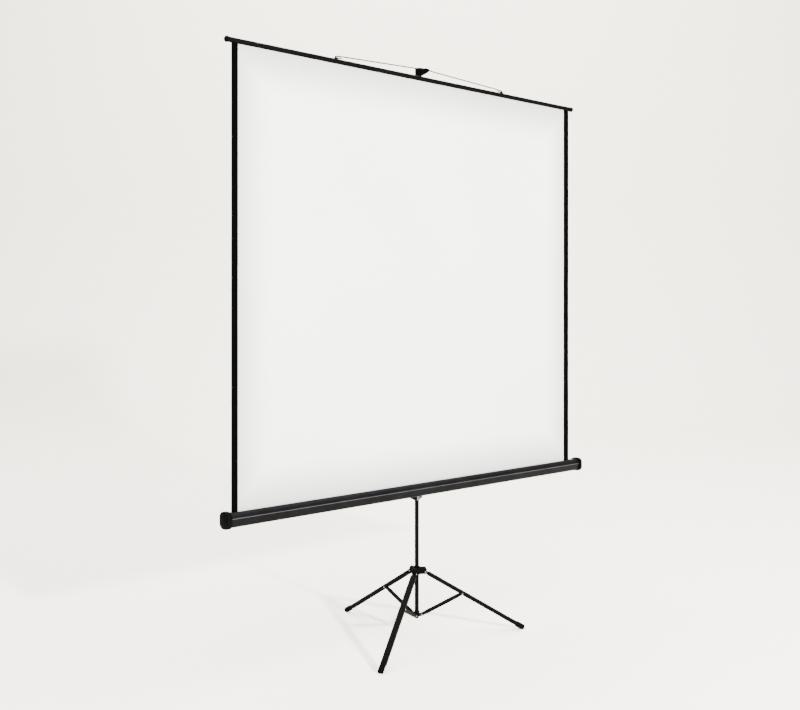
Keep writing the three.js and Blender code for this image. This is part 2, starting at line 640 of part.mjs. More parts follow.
// A cap built for the left end: its skirt goes over the shell and its boss carries a pin
function endCap() {
  const outline = roundedRectangle(CASE_DEPTH + 2 * CAP_PROUD, CASE_HEIGHT + 2 * CAP_PROUD, CAP_CORNER);
  const rim = {
    depth: CAP_SKIRT - 2 * CAP_CHAMFER,
    bevelThickness: CAP_CHAMFER,
    bevelSize: CAP_CHAMFER,
    bevelOffset: -CAP_CHAMFER,
    bevelSegments: 2,
    curveSegments: CORNER_STEPS,
  };
  const cup = standUp(new THREE.ExtrudeGeometry(outline, rim)).translate(CAP_CHAMFER, FABRIC_Y, CASE_Z);
  const [root, top] = [CAP_WALL - CAP_PIN_DEPTH, CAP_WALL + CAP_BOSS];
  const boss = alongX(rod(CAP_BOSS_R, root, top)).translate(0, FABRIC_Y, CASE_Z);
  const hole = alongX(rod(PIN_R + FIT, root, top + OVERCUT)).translate(0, FABRIC_Y, CASE_Z);
  return cut(join(cut(cup, caseProfile(FIT, CAP_WALL, CAP_SKIRT + OVERCUT)), boss), hole);
}
piece(screen, 'end_cap_left', endCap(), BLACK_PLASTIC).position.x = caseLeft;

// The right cap is the left one's mirror image, because the shell's front and back differ
const mirrored = solid(endCap()).mirror([1, 0, 0]);
piece(screen, 'end_cap_right', geometryOf(mirrored), BLACK_PLASTIC).position.x = caseRight;

// Spring roller in the case

const roller = new THREE.Group();
roller.position.set(0, FABRIC_Y, CASE_Z);
screen.add(roller);
const rollerEnd = FABRIC_WIDTH / 2 + ROLLER_OVERHANG;
const rollerBore = ROLLER_R - ROLLER_WALL;
const pinBore = PIN_R + PIN_PLAY;
piece(roller, 'roller_tube', alongX(pipe(ROLLER_R, rollerBore, -rollerEnd, rollerEnd)), BRIGHT_STEEL);
const rollerPlug = () => alongX(turned([
  [pinBore, -PLUG_LENGTH],
  [rollerBore - FIT, -PLUG_LENGTH],
  [rollerBore - FIT, FIT],
  [ROLLER_R, FIT],
  [ROLLER_R, FIT + PLUG_FLANGE],
  [pinBore, FIT + PLUG_FLANGE],
  [pinBore, -PLUG_LENGTH],
]));
piece(roller, 'roller_plug_right', rollerPlug(), BLACK_PLASTIC).position.x = rollerEnd;
const leftPlug = piece(roller, 'roller_plug_left', rollerPlug(), BLACK_PLASTIC);
leftPlug.rotation.z = Math.PI;
leftPlug.position.x = -rollerEnd;

const pinSeat = CAP_WALL - CAP_PIN_DEPTH + FIT;
const spindleEnd = rollerEnd - SPINDLE_REACH;
const pin = (from, to) => alongX(rod(PIN_R, from, to, SMALL_ROUND));
piece(roller, 'idle_pin', pin(caseLeft + pinSeat, PLUG_LENGTH - rollerEnd), BRIGHT_STEEL);
piece(roller, 'spring_spindle', pin(spindleEnd, caseRight - pinSeat), BRIGHT_STEEL);

class Helix extends THREE.Curve {
  getPoint(t) {
    const turn = 2 * Math.PI * SPRING_TURNS * t;
    const radius = PIN_R + PIN_PLAY + SPRING_WIRE_R;
    const x = spindleEnd + SPRING_START + SPRING_PITCH * SPRING_TURNS * t;
    return new THREE.Vector3(x, radius * Math.cos(turn), radius * Math.sin(turn));
  }
}

function wireSection(radius, sides) {
  return polygon(Array.from({ length: sides }, (_, i) => {
    const angle = (2 * Math.PI * i) / sides;
    return [radius * Math.cos(angle), radius * Math.sin(angle)];
  }));
}

function alongCurve(section, curve, steps) {
  return new THREE.ExtrudeGeometry(section, { steps, extrudePath: curve });
}

// The least gap between a coil's own turns, measured on points at least half a turn apart
function leastGap(curve, turns, wireRadius) {
  const halfTurn = 12;
  const points = curve.getPoints(2 * halfTurn * turns);
  let least = Infinity;
  points.forEach((point, i) => {
    points.slice(i + halfTurn).forEach((other) => {
      least = Math.min(least, point.distanceTo(other));
    });
  });
  return least - 2 * wireRadius;
}
const spring = new Helix();
const springWire = alongCurve(wireSection(SPRING_WIRE_R, SPRING_ROUND), spring, SPRING_TURNS * SPRING_STEPS);
piece(roller, 'torsion_spring', springWire, WIRE_STEEL);
const springGap = leastGap(spring, SPRING_TURNS, SPRING_WIRE_R);
console.log('torsion spring, least gap to itself in mm:', springGap.toFixed(2));

piece(roller, 'fabric_roll',
  alongX(pipe(WOUND_R, ROLLER_R + FIT, -FABRIC_WIDTH / 2, FABRIC_WIDTH / 2)), WHITE_FABRIC);

// Fabric: it leaves the roll on a tangent, stands in the slot and ends in a hem inside the rail

const exitRise = CASE_HEIGHT / 2 - CASE_WALL;
const rollGap = WOUND_R + FIT;
const wrapAngle = Math.acos(rollGap / exitRise);
const tangent = [FABRIC_Y - rollGap * Math.sin(wrapAngle), CASE_Z + rollGap * Math.cos(wrapAngle)];
const hemZ = RAIL_Z - (RAIL_R - RAIL_WALL) + HEM_R + FIT;
const half = FABRIC_THICK / 2;
const fabricOutline = polygon([
  [FABRIC_Y + half, CASE_Z + exitRise],
  [FABRIC_Y + half, hemZ],
  [FABRIC_Y - half, hemZ],
  [FABRIC_Y - half, CASE_Z + exitRise + half],
  [tangent[0] - FABRIC_THICK * Math.sin(wrapAngle), tangent[1] + FABRIC_THICK * Math.cos(wrapAngle)],
  tangent,
]);

function fabricPanel(x0, x1) {
  const hem = alongX(rod(HEM_R, x0, x1, RIVET_ROUND)).translate(0, FABRIC_Y, hemZ);
  return join(alongScreen(fabricOutline, x0, x1), hem);
}
const fabricHalf = FABRIC_WIDTH / 2;
const whiteHalf = fabricHalf - BORDER_WIDTH;
piece(screen, 'screen_fabric', fabricPanel(-whiteHalf, whiteHalf), WHITE_FABRIC);
piece(screen, 'border_left', fabricPanel(-fabricHalf, -whiteHalf - FIT), BLACK_FABRIC);
piece(screen, 'border_right', fabricPanel(whiteHalf + FIT, fabricHalf), BLACK_FABRIC);

// Top rail with its caps, eyelets and wire

const railEnd = fabricHalf + RAIL_OVERHANG;
const railTop = RAIL_Z + RAIL_R;
const railBody = alongX(pipe(RAIL_R, RAIL_R - RAIL_WALL, -railEnd, railEnd)).translate(0, FABRIC_Y, RAIL_Z);
const railSlot = block(-railEnd - OVERCUT, railEnd + OVERCUT,
  FABRIC_Y - RAIL_SLOT / 2, FABRIC_Y + RAIL_SLOT / 2, RAIL_Z - RAIL_R - OVERCUT, RAIL_Z - RAIL_R / 2);
piece(screen, 'top_rail', cut(railBody, railSlot), BLACK_TUBE);

// A rail cap: a plug in the rail and a round knob outside it
function railCap() {
  const plugR = RAIL_R - RAIL_WALL - FIT;
  const profile = [[0, -RAIL_PLUG], [plugR, -RAIL_PLUG], [plugR, FIT], [RAIL_CAP_R, FIT]];
  for (let step = 0; step < CORNER_STEPS; step += 1) {
    const angle = (step / CORNER_STEPS) * (Math.PI / 2);
    profile.push([
      RAIL_CAP_R * Math.cos(angle),
      RAIL_CAP_STRAIGHT + (RAIL_CAP - RAIL_CAP_STRAIGHT) * Math.sin(angle),
    ]);
  }
  profile.push([0, RAIL_CAP]);
  return alongX(turned(profile));
}
piece(screen, 'rail_cap_right', railCap(), BLACK_PLASTIC).position.set(railEnd, FABRIC_Y, RAIL_Z);
const railCapLeft = piece(screen, 'rail_cap_left', railCap(), BLACK_PLASTIC);
railCapLeft.rotation.z = Math.PI;
railCapLeft.position.set(-railEnd, FABRIC_Y, RAIL_Z);

const eyeletZ = railTop + EYELET_RISE;
const eyeletSide = EYELET_THICK / 2;

function eyelet() {
  const [l, d] = [EYELET_BASE_LENGTH / 2, EYELET_BASE_DEPTH / 2];
  const base = block(-l, l, -d, d, railTop - EYELET_BASE_HEIGHT, railTop + EYELET_BASE_HEIGHT);
  const ear = alongScreen(link(0, railTop, 0, eyeletZ, EYELET_R), -eyeletSide, eyeletSide);
  const railRound = alongX(rod(RAIL_R + FIT, -l - OVERCUT, l + OVERCUT)).translate(0, 0, RAIL_Z);
  const hole = alongX(rod(EYELET_HOLE_R, -EYELET_THICK, EYELET_THICK, RIVET_ROUND)).translate(0, 0, eyeletZ);
  return cut(join(base, ear), railRound, hole);
}
piece(screen, 'eyelet_left', eyelet(), WIRE_STEEL).position.set(-EYELET_X, FABRIC_Y, 0);
piece(screen, 'eyelet_right', eyelet(), WIRE_STEEL).position.set(EYELET_X, FABRIC_Y, 0);

// Half of the wire's route from the hook: out over the eyelet, down, and back through its hole
const loopTop = eyeletZ + EYELET_R + WIRE_R + WIRE_LOOP_GAP;
const halfRoute = [
  [8, wireZ],
  [60, wireZ - 3],
  [EYELET_X - 40, loopTop + 2.5],
  [EYELET_X - 10, loopTop + 0.4],
  [EYELET_X + 3, loopTop - 0.5],
  [EYELET_X + 8, loopTop - 4],
  [EYELET_X + 4.5, eyeletZ],
  [EYELET_X - 4, eyeletZ],
  [EYELET_X - 16, eyeletZ + 0.5],
  [EYELET_X - 30, eyeletZ + 2],
];
const wireRoute = new THREE.CatmullRomCurve3([
  ...halfRoute.map(([x, z]) => new THREE.Vector3(-x, FABRIC_Y, z)).reverse(),
  ...halfRoute.map(([x, z]) => new THREE.Vector3(x, FABRIC_Y, z)),
]);
piece(screen, 'bail_wire', alongCurve(wireSection(WIRE_R, WIRE_ROUND), wireRoute, WIRE_STEPS), WIRE_STEEL);

// Carriage on the mast, with the pivot of the case and its lock screw

const bracketFront = FABRIC_Y + CASE_DEPTH / 2 + FIT;
const bracketBack = bracketFront + BRACKET_PLATE;
const carriageFace = bracketBack + FIT;
const carriageFoot = CASE_Z - CARRIAGE_BELOW;
const carriageHead = CASE_Z + CARRIAGE_ABOVE;
const knobZ = CASE_Z - KNOB_DROP;
const faceOutline = polygon([
  [FACE_HALF, caseBottom],
  [FACE_HALF, carriageHead - FACE_CORNER],
  [FACE_HALF - FACE_CORNER, carriageHead],
  [FACE_CORNER - FACE_HALF, carriageHead],
  [-FACE_HALF, carriageHead - FACE_CORNER],
  [-FACE_HALF, caseBottom],
  [-GUSSET_REACH, caseBottom],
  [-GUSSET_REACH, caseBottom - GUSSET_DEPTH],
  [-GUSSET_ROOT - FACE_CORNER, carriageFoot],
  [-GUSSET_ROOT, carriageFoot],
  [-GUSSET_ROOT, caseBottom - FACE_CORNER],
  [FACE_HALF, caseBottom - FACE_CORNER],
]);

// The bright plate lies on a boss in front of the sleeve, on a stud
const plateMiddle = (PLATE_LEFT + PLATE_RIGHT) / 2;
const plateFoot = -CARRIAGE_R - PLATE_SEAT;
const plateBack = plateFoot - FIT;
const plateBoss = block(PLATE_LEFT, PLATE_RIGHT, plateFoot, -CARRIAGE_R / 2,
  knobZ - PLATE_HALF_HEIGHT, knobZ + PLATE_HALF_HEIGHT);
const plateStud = alongY(rod(PLATE_STUD_R, plateBack - PLATE_THICK, plateFoot + OVERCUT, RIVET_ROUND))
  .translate(plateMiddle, 0, knobZ);
const carriageBody = join(
  rod(CARRIAGE_R, carriageFoot, carriageHead),
  plate(faceOutline, carriageFace, -MAST_R),
  alongX(rod(KNOB_R, 0, CARRIAGE_R + KNOB_BOSS)).translate(0, 0, knobZ),
  plateBoss,
  plateStud);
const shankEnd = carriageFace + PIVOT_DEPTH;
const carriageBore = rod(MAST_R + FIT, carriageFoot - OVERCUT, carriageHead + OVERCUT);
const pivotHole = alongY(rod(PIVOT_R + FIT, carriageFace - OVERCUT, shankEnd + FIT)).translate(0, 0, CASE_Z);
const screwHole = alongX(rod(KNOB_SCREW_R + FIT, 0, CARRIAGE_R + KNOB_BOSS + OVERCUT)).translate(0, 0, knobZ);
piece(screen, 'carriage', cut(carriageBody, carriageBore, pivotHole, screwHole), BLACK_PLASTIC);

const plateOutline = roundedRectangle(PLATE_RIGHT - PLATE_LEFT, 2 * PLATE_HALF_HEIGHT, PLATE_THICK);
const plateFront = plateBack - PLATE_THICK;
const studHole = alongY(rod(PLATE_STUD_R + FIT, plateFront - OVERCUT, plateBack + OVERCUT, RIVET_ROUND));
piece(screen, 'catch_plate', cut(plate(plateOutline, plateFront, plateBack), studHole), BRIGHT_STEEL)
  .position.set(plateMiddle, 0, knobZ);

const bracketOutline = roundedRectangle(2 * BRACKET_HALF, BRACKET_HEIGHT, BRACKET_CORNER);
piece(screen, 'case_bracket', cut(plate(bracketOutline, bracketFront, bracketBack),
  alongY(rod(PIVOT_R + FIT, bracketFront - OVERCUT, bracketBack + OVERCUT)),
  alongY(rod(PIVOT_HEAD_R + FIT, bracketFront - OVERCUT, bracketFront + PIVOT_HEAD + FIT))), BLACK_TUBE)
  .position.z = CASE_Z;
piece(screen, 'pivot_bolt', alongY(turned([
  [0, bracketFront],
  [PIVOT_HEAD_R, bracketFront],
  [PIVOT_HEAD_R, bracketFront + PIVOT_HEAD],
  [PIVOT_R, bracketFront + PIVOT_HEAD],
  [PIVOT_R, shankEnd],
  [0, shankEnd],
])), BRIGHT_STEEL).position.z = CASE_Z;

const knobSeat = CARRIAGE_R + KNOB_BOSS + FIT;
const knobTop = knobSeat + KNOB_LENGTH;
const screwEnd = MAST_R + FIT;
piece(screen, 'lock_knob', alongX(turned([
  [0, screwEnd],
  [KNOB_SCREW_R, screwEnd],
  [KNOB_SCREW_R, knobSeat],
  [KNOB_R - KNOB_CHAMFER, knobSeat],
  [KNOB_R, knobSeat + KNOB_CHAMFER],
  [KNOB_R, knobTop - KNOB_CHAMFER],
  [KNOB_R - KNOB_CHAMFER, knobTop],
  [0, knobTop],
], SMALL_ROUND)), BRIGHT_STEEL).position.z = knobZ;

// The part stands on the floor with its origin under the middle of its box
const box = new THREE.Box3().setFromObject(screen, true);
screen.position.set(-(box.min.x + box.max.x) / 2, -(box.min.y + box.max.y) / 2, -box.min.z);
screen.updateMatrixWorld(true);

export default screen;
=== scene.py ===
import math

import bmesh
import bpy
from mathutils import Matrix, Vector


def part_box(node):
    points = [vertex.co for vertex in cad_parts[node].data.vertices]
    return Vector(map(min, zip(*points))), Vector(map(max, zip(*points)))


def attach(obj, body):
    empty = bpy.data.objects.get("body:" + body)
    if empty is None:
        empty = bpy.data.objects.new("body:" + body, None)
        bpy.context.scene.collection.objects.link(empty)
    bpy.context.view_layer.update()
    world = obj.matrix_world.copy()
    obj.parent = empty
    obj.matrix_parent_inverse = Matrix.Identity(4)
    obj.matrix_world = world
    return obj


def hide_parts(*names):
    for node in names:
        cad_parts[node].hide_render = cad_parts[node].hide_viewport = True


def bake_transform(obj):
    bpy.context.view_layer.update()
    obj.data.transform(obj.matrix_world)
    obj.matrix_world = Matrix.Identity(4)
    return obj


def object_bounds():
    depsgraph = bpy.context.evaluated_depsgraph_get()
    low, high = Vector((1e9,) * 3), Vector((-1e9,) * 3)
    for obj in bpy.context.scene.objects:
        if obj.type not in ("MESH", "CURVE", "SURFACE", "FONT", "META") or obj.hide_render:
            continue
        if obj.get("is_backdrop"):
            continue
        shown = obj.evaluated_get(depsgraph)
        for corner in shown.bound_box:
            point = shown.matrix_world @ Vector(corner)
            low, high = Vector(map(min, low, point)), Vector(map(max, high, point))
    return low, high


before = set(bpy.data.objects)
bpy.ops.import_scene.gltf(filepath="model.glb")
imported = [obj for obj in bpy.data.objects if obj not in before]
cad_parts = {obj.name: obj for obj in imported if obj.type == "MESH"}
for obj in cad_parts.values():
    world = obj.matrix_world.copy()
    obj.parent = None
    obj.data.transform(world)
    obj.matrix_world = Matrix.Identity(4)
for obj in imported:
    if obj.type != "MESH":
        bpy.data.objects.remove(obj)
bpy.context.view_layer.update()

# Mast: a black powder-coated steel tube, 19 mm across, that stands in the lower hub and carries
# everything else. A thinner tube of the same finish slides out of it and holds the hook at its top.
mast_low, mast_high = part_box("mast_tube")
mast_x = (mast_low.x + mast_high.x) / 2
mast_y = (mast_low.y + mast_high.y) / 2


def linear(hex_colour):
    """An sRGB hex colour as linear RGBA."""
    parts = [int(hex_colour[i:i + 2], 16) / 255 for i in (1, 3, 5)]
    return tuple(c / 12.92 if c <= 0.04045 else ((c + 0.055) / 1.055) ** 2.4 for c in parts) + (1.0,)


def add(tree, kind, links=None, **settings):
    """Adds a node: settings are its own properties or input defaults, links are input name to socket."""
    node = tree.nodes.new(kind)
    for name, value in settings.items():
        if hasattr(node, name):
            setattr(node, name, value)
        else:
            node.inputs[name.replace("_", " ")].default_value = value
    for name, socket in (links or {}).items():
        tree.links.new(socket, node.inputs[name])
    return node


def new_material(name, **shader_values):
    """A material with an empty Principled shader, and the tree and shader to dress it."""
    material = bpy.data.materials.new(name)
    material.use_nodes = True
    shader = material.node_tree.nodes["Principled BSDF"]
    for socket, value in shader_values.items():
        shader.inputs[socket.replace("_", " ")].default_value = value
    return material, material.node_tree, shader


NOISE_SPAN = (0.3, 0.7)


def two_tone(tree, fac, dark, light):
    """A ramp between two colours, over the span where a noise texture mostly lies."""
    ramp = add(tree, "ShaderNodeValToRGB", {"Fac": fac})
    for element, position, colour in zip(ramp.color_ramp.elements, NOISE_SPAN, (dark, light)):
        element.position = position
        element.color = linear(colour)
    return ramp.outputs["Color"]


MOTTLE_MM = 111.0
GRAIN_RELIEF = 0.35


def speckled(name, dark, light, grain_mm, bump_mm, rough, **shader_values):
    """A surface whose colour varies by the hand's breadth, and its gloss and relief by its grain."""
    material, tree, shader = new_material(name, **shader_values)
    place = add(tree, "ShaderNodeTexCoord").outputs["Object"]
    grain = add(tree, "ShaderNodeTexNoise", {"Vector": place}, Scale=1000 / grain_mm, Detail=3.0)
    wide = add(tree, "ShaderNodeTexNoise", {"Vector": place}, Scale=1000 / MOTTLE_MM, Detail=2.0)
    tree.links.new(two_tone(tree, wide.outputs["Fac"], dark, light), shader.inputs["Base Color"])
    gloss = add(tree, "ShaderNodeMapRange", {"Value": grain.outputs["Fac"]},
                From_Min=NOISE_SPAN[0], From_Max=NOISE_SPAN[1], To_Min=rough[0], To_Max=rough[1])
    tree.links.new(gloss.outputs["Result"], shader.inputs["Roughness"])
    relief = add(tree, "ShaderNodeBump", {"Height": grain.outputs["Fac"]},
                 Strength=GRAIN_RELIEF, Distance=bump_mm / 1000)
    tree.links.new(relief.outputs["Normal"], shader.inputs["Normal"])
    return material


# Powder coat over steel: a satin black with the slight orange peel of a baked film.
powder_coat = speckled("black_powder_coat", "#020202", "#030303", 2.2, 0.04, (0.52, 0.64),
                       IOR=1.5, Specular_IOR_Level=0.02)


def piece_of(shape, name, material, smooth_deg=32):
    """An object from a bmesh, smooth-shaded between edges that turn by more than the given angle."""
    for face in shape.faces:
        face.smooth = True
        face.material_index = 0
    mesh = bpy.data.meshes.new(name)
    shape.to_mesh(mesh)
    shape.free()
    mesh.materials.append(material)
    mesh.set_sharp_from_angle(angle=math.radians(smooth_deg))
    piece = bpy.data.objects.new(name, mesh)
    bpy.context.scene.collection.objects.link(piece)
    return piece


MERGE = 1e-6


def turned(profile, base, axis, steps=48):
    """A solid turned about an axis through base, from a line of (radius, length) points.

    The line is closed, unless it starts and ends on the axis.
    """
    shape = bmesh.new()
    line = [shape.verts.new((radius, 0, along)) for radius, along in profile]
    edges = [shape.edges.new(pair) for pair in zip(line, line[1:])]
    if profile[0][0] > 0:
        edges.append(shape.edges.new((line[-1], line[0])))
    bmesh.ops.spin(shape, geom=line + edges, cent=(0, 0, 0), axis=(0, 0, 1), angle=2 * math.pi,
                   steps=steps, use_merge=True)
    bmesh.ops.remove_doubles(shape, verts=shape.verts, dist=MERGE)
    bmesh.ops.recalc_face_normals(shape, faces=shape.faces)
    turn = Vector((0, 0, 1)).rotation_difference(Vector(axis)).to_matrix()
    bmesh.ops.rotate(shape, verts=shape.verts, cent=(0, 0, 0), matrix=turn)
    bmesh.ops.translate(shape, verts=shape.verts, vec=base)
    return shape


def tube_profile(outer, wall, length, edge):
    """The section of a tube whose outer edges are broken."""
    return [(outer - wall, 0), (outer - edge, 0), (outer, edge), (outer, length - edge),
            (outer - edge, length), (outer - wall, length)]


TUBE_EDGE = 0.0004
MAST_WALL, EXTENSION_WALL = 0.0015, 0.0012
for node, body, wall in (("mast_tube", "stand", MAST_WALL), ("mast_extension", "extension", EXTENSION_WALL)):
    low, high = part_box(node)
    section = tube_profile((high.x - low.x) / 2, wall, high.z - low.z, TUBE_EDGE)
    tube = piece_of(turned(section, (mast_x, mast_y, low.z), (0, 0, 1)), f"{node}_drawn", powder_coat)
    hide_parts(node)
    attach(tube, body)

# Collar, catch button and hubs: black ABS mouldings. The collar clamps the two tubes and holds the spring
# button, the upper hub slides on the mast with a riveted eye for each leg, and the lower hub ends the mast.
# Etched moulding tools leave a fine, even grain that dulls the gloss.
moulded_abs = speckled("black_abs_moulding", "#020202", "#040404", 0.9, 0.06, (0.54, 0.68),
                       IOR=1.53, Specular_IOR_Level=0.012)
BEVEL_ANGLE = math.radians(40)
FLAT_ANGLE = math.radians(0.5)


def break_edges(piece, edge_mm):
    """Rounds a piece's sharp edges, as moulding and handling leave them."""
    bevel = piece.modifiers.new("broken_edges", "BEVEL")
    bevel.width = edge_mm / 1000
    bevel.segments = 2
    bevel.limit_method = "ANGLE"
    bevel.angle_limit = BEVEL_ANGLE
    bevel.harden_normals = True


def finished(node, body, material, edge_mm=0.4, smooth_deg=32):
    """A smooth-shaded copy of a CAD piece, with its sharp edges broken."""
    shape = bmesh.new()
    shape.from_mesh(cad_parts[node].data)
    bmesh.ops.remove_doubles(shape, verts=shape.verts, dist=MERGE)
    bmesh.ops.dissolve_limit(shape, angle_limit=FLAT_ANGLE, verts=shape.verts, edges=shape.edges)
    piece = piece_of(shape, f"{node}_finished", material, smooth_deg)
    if edge_mm:
        break_edges(piece, edge_mm)
    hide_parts(node)
    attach(piece, body)
    return piece


finished("mast_collar", "stand", moulded_abs, 0.6)
finished("catch_button", "catch_button", moulded_abs, 0.6)
# The hub's crown stands a little higher than its solid, and its lobes draw in towards the top.
CROWN_DEPTH = 0.004
CROWN_RISE = 0.006
CROWN_TAPER = 0.86
NECK_REACH = 0.016
hub = finished("tripod_hub", "hub", moulded_abs, 1.6)
hub_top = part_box("tripod_hub")[1].z
for vert in hub.data.vertices:
    if vert.co.z > hub_top - CROWN_DEPTH:
        arm = vert.co.xy - Vector((mast_x, mast_y))
        taper = CROWN_TAPER if arm.length > NECK_REACH else 1.0
        vert.co = (mast_x + arm.x * taper, mast_y + arm.y * taper, vert.co.z + CROWN_RISE)
finished("lower_hub", "stand", moulded_abs, 0.8)

# Legs and struts: steel channel, open below, with a rolled rib along the top of each leg. A moulded
# spacer in each leg centres its strut, and bright zinc-plated rivets are the pivots.
# Zinc plate is a bright grey metal with a faint bloom.
zinc_plate = speckled("zinc_plated_steel", "#55575a", "#6c6e71", 1.5, 0.03, (0.30, 0.42), Metallic=1.0)
for number in (1, 2, 3):
    finished(f"leg_{number}", f"leg_{number}", powder_coat)
    finished(f"leg_bracket_{number}", f"leg_{number}", moulded_abs)
    finished(f"strut_{number}", f"strut_{number}", powder_coat, 0.3)
    finished(f"strut_rivet_{number}", f"leg_{number}", zinc_plate, 0.5)
    finished(f"lower_rivet_{number}", f"strut_{number}", zinc_plate, 0.5)
    finished(f"hub_rivet_{number}", "hub", zinc_plate, 0.5)

# Feet: black rubber tips pushed into the legs' ends, 25 mm across, with a neck, three grip grooves and a
# round edge that is worn flat where it stands on the floor.
# Moulded rubber is dull and slightly greyed by dust.
tip_rubber = speckled("black_tip_rubber", "#030303", "#050504", 1.4, 0.10, (0.66, 0.82),
                      IOR=1.52, Specular_IOR_Level=0.012)
# The seat is the solid tip, whose length and radius set where each leg ends.
LEG_AZIMUTHS = (-150, -30, 90)
LEG_ANGLE = math.radians(31.3)
HUB_PIVOT = (0.038, 0.285)
SEAT_R = 0.0105
SEAT_LENGTH = 0.040
FOOT_R = 0.0126
FOOT_LENGTH = 0.041
FOOT_EDGE = 0.004
FOOT_FLAT = 0.0012
NECK_R, NECK, NECK_EDGE = 0.0118, 0.004, 0.001
PLUG_R, PLUG = 0.0064, 0.024
GROOVES = (0.012, 0.019, 0.026)
GROOVE = 0.0008
FIT = 0.0003
FLOOR_GAP = 0.0001
ARC_STEPS = 6
edge_ring = FOOT_R - FOOT_EDGE
seat_drop = HUB_PIVOT[1] + FOOT_FLAT - FOOT_EDGE - (SEAT_R - FOOT_EDGE) * math.cos(LEG_ANGLE)
leg_end = seat_drop / math.sin(LEG_ANGLE) + FOOT_EDGE - SEAT_LENGTH
tip_profile = [(0, -PLUG), (PLUG_R, -PLUG), (PLUG_R, FIT), (NECK_R, FIT), (NECK_R, NECK - NECK_EDGE),
               (FOOT_R - NECK_EDGE, NECK), (FOOT_R, NECK + NECK_EDGE)]
for groove in GROOVES:
    tip_profile += [(FOOT_R, groove - GROOVE), (FOOT_R - GROOVE, groove), (FOOT_R, groove + GROOVE)]
for step in range(ARC_STEPS + 1):
    bend_angle = step / ARC_STEPS * math.pi / 2
    tip_profile.append((edge_ring + FOOT_EDGE * math.cos(bend_angle),
                        FOOT_LENGTH - FOOT_EDGE + FOOT_EDGE * math.sin(bend_angle)))
tip_profile.append((0, FOOT_LENGTH))
for number, azimuth in enumerate(LEG_AZIMUTHS, 1):
    out = Vector((math.cos(math.radians(azimuth)), math.sin(math.radians(azimuth)), 0))
    along = out * math.cos(LEG_ANGLE) - Vector((0, 0, math.sin(LEG_ANGLE)))
    start = Vector((mast_x, mast_y, HUB_PIVOT[1])) + out * HUB_PIVOT[0] + along * leg_end
    tip = turned(tip_profile, start, along, 32)
    bmesh.ops.bisect_plane(tip, geom=tip.verts[:] + tip.edges[:] + tip.faces[:], clear_outer=True,
                           plane_co=(0, 0, FLOOR_GAP), plane_no=(0, 0, -1))
    bmesh.ops.holes_fill(tip, edges=[edge for edge in tip.edges if edge.is_boundary])
    bmesh.ops.recalc_face_normals(tip, faces=tip.faces)
    foot = piece_of(tip, f"foot_{number}_rubber", tip_rubber)
    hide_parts(f"foot_{number}")
    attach(foot, f"leg_{number}")

# Carriage: the moulded slider that holds the case on the mast, with a bright catch plate in front, a
# gusset under the case, and a steel bracket that swings with the case on one pivot bolt.
finished("carriage", "carriage", moulded_abs, 0.8)
finished("catch_plate", "carriage", zinc_plate, 0.5)
finished("case_bracket", "case", powder_coat, 0.5)
finished("pivot_bolt", "case", zinc_plate, 0.4)

# Lock knob: a plated steel screw with a knurled head, 13 mm across, that clamps the carriage.
# It is turned from bar, and its screw runs through the carriage towards the mast.
KNURL = 0.0005
KNURLS = 28
KNOB_LENGTH = 0.012
KNOB_EDGE = 0.001
SCREW_R = 0.0026
knob_low, knob_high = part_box("lock_knob")
knob_r = (knob_high.z - knob_low.z) / 2
knob_z = (knob_high.z + knob_low.z) / 2
screw = knob_high.x - knob_low.x - KNOB_LENGTH
knob_profile = [(0, 0), (SCREW_R, 0), (SCREW_R, screw), (knob_r - KNOB_EDGE, screw),
                (knob_r, screw + KNOB_EDGE), (knob_r, screw + KNOB_LENGTH - KNOB_EDGE),
                (knob_r - KNOB_EDGE, screw + KNOB_LENGTH), (SCREW_R, screw + KNOB_LENGTH - KNURL),
                (0, screw + KNOB_LENGTH - KNURL)]
knob_shape = turned(knob_profile, (0, 0, 0), (0, 0, 1), 2 * KNURLS)
for vert in knob_shape.verts:
    turn_step = round(math.atan2(vert.co.y, vert.co.x) / (math.pi / KNURLS))
    if vert.co.xy.length > knob_r - KNURL and turn_step % 2:
        vert.co.xy *= 1 - KNURL / knob_r
bmesh.ops.rotate(knob_shape, verts=knob_shape.verts, cent=(0, 0, 0),
                 matrix=Matrix.Rotation(math.pi / 2, 3, "Y"))
bmesh.ops.translate(knob_shape, verts=knob_shape.verts, vec=(knob_low.x, mast_y, knob_z))
knob = piece_of(knob_shape, "lock_knob_knurled", zinc_plate, 20)
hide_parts("lock_knob")
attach(knob, "lock_knob")

# Case: a rolled steel shell in charcoal paint, slotted along its top for the fabric, with a ridge and a
# foot bead rolled along its front and a moulded cap pushed over each end.
# Baked paint has a semi-gloss skin over slight ripples from the rolling.
case_paint = speckled("charcoal_case_paint", "#060607", "#0a0a0b", 2.5, 0.04, (0.30, 0.40),
                      IOR=1.5, Specular_IOR_Level=0.025)
# The ridge is rubbed by handling, so its paint is thin, lighter and glossier.
# The ridge's paint is lighter and glossier than the shell's: its lighter colour is a painted highlight along
# the ridge.
painted_highlight_ridge = speckled("rubbed_ridge_paint", "#262628", "#343437", 4.0, 0.03, (0.26, 0.40),
                        IOR=1.5, Specular_IOR_Level=0.2)
RIDGE_HALF = 0.0016
RIDGE_REACH = 0.0048
RIDGE_RISE = 0.006
shell = finished("case_shell", "case", case_paint)
shell.data.materials.append(painted_highlight_ridge)
shell_low, shell_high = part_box("case_shell")
ridge_z = (shell_low.z + shell_high.z) / 2 + RIDGE_RISE
# The front faces along the ridge take the painted highlight.
for face in shell.data.polygons:
    if abs(face.center.z - ridge_z) < RIDGE_HALF and face.center.y < shell_low.y + RIDGE_REACH:
        face.material_index = 1
finished("end_cap_left", "case", moulded_abs, 0.8, 50)
finished("end_cap_right", "case", moulded_abs, 0.8, 50)

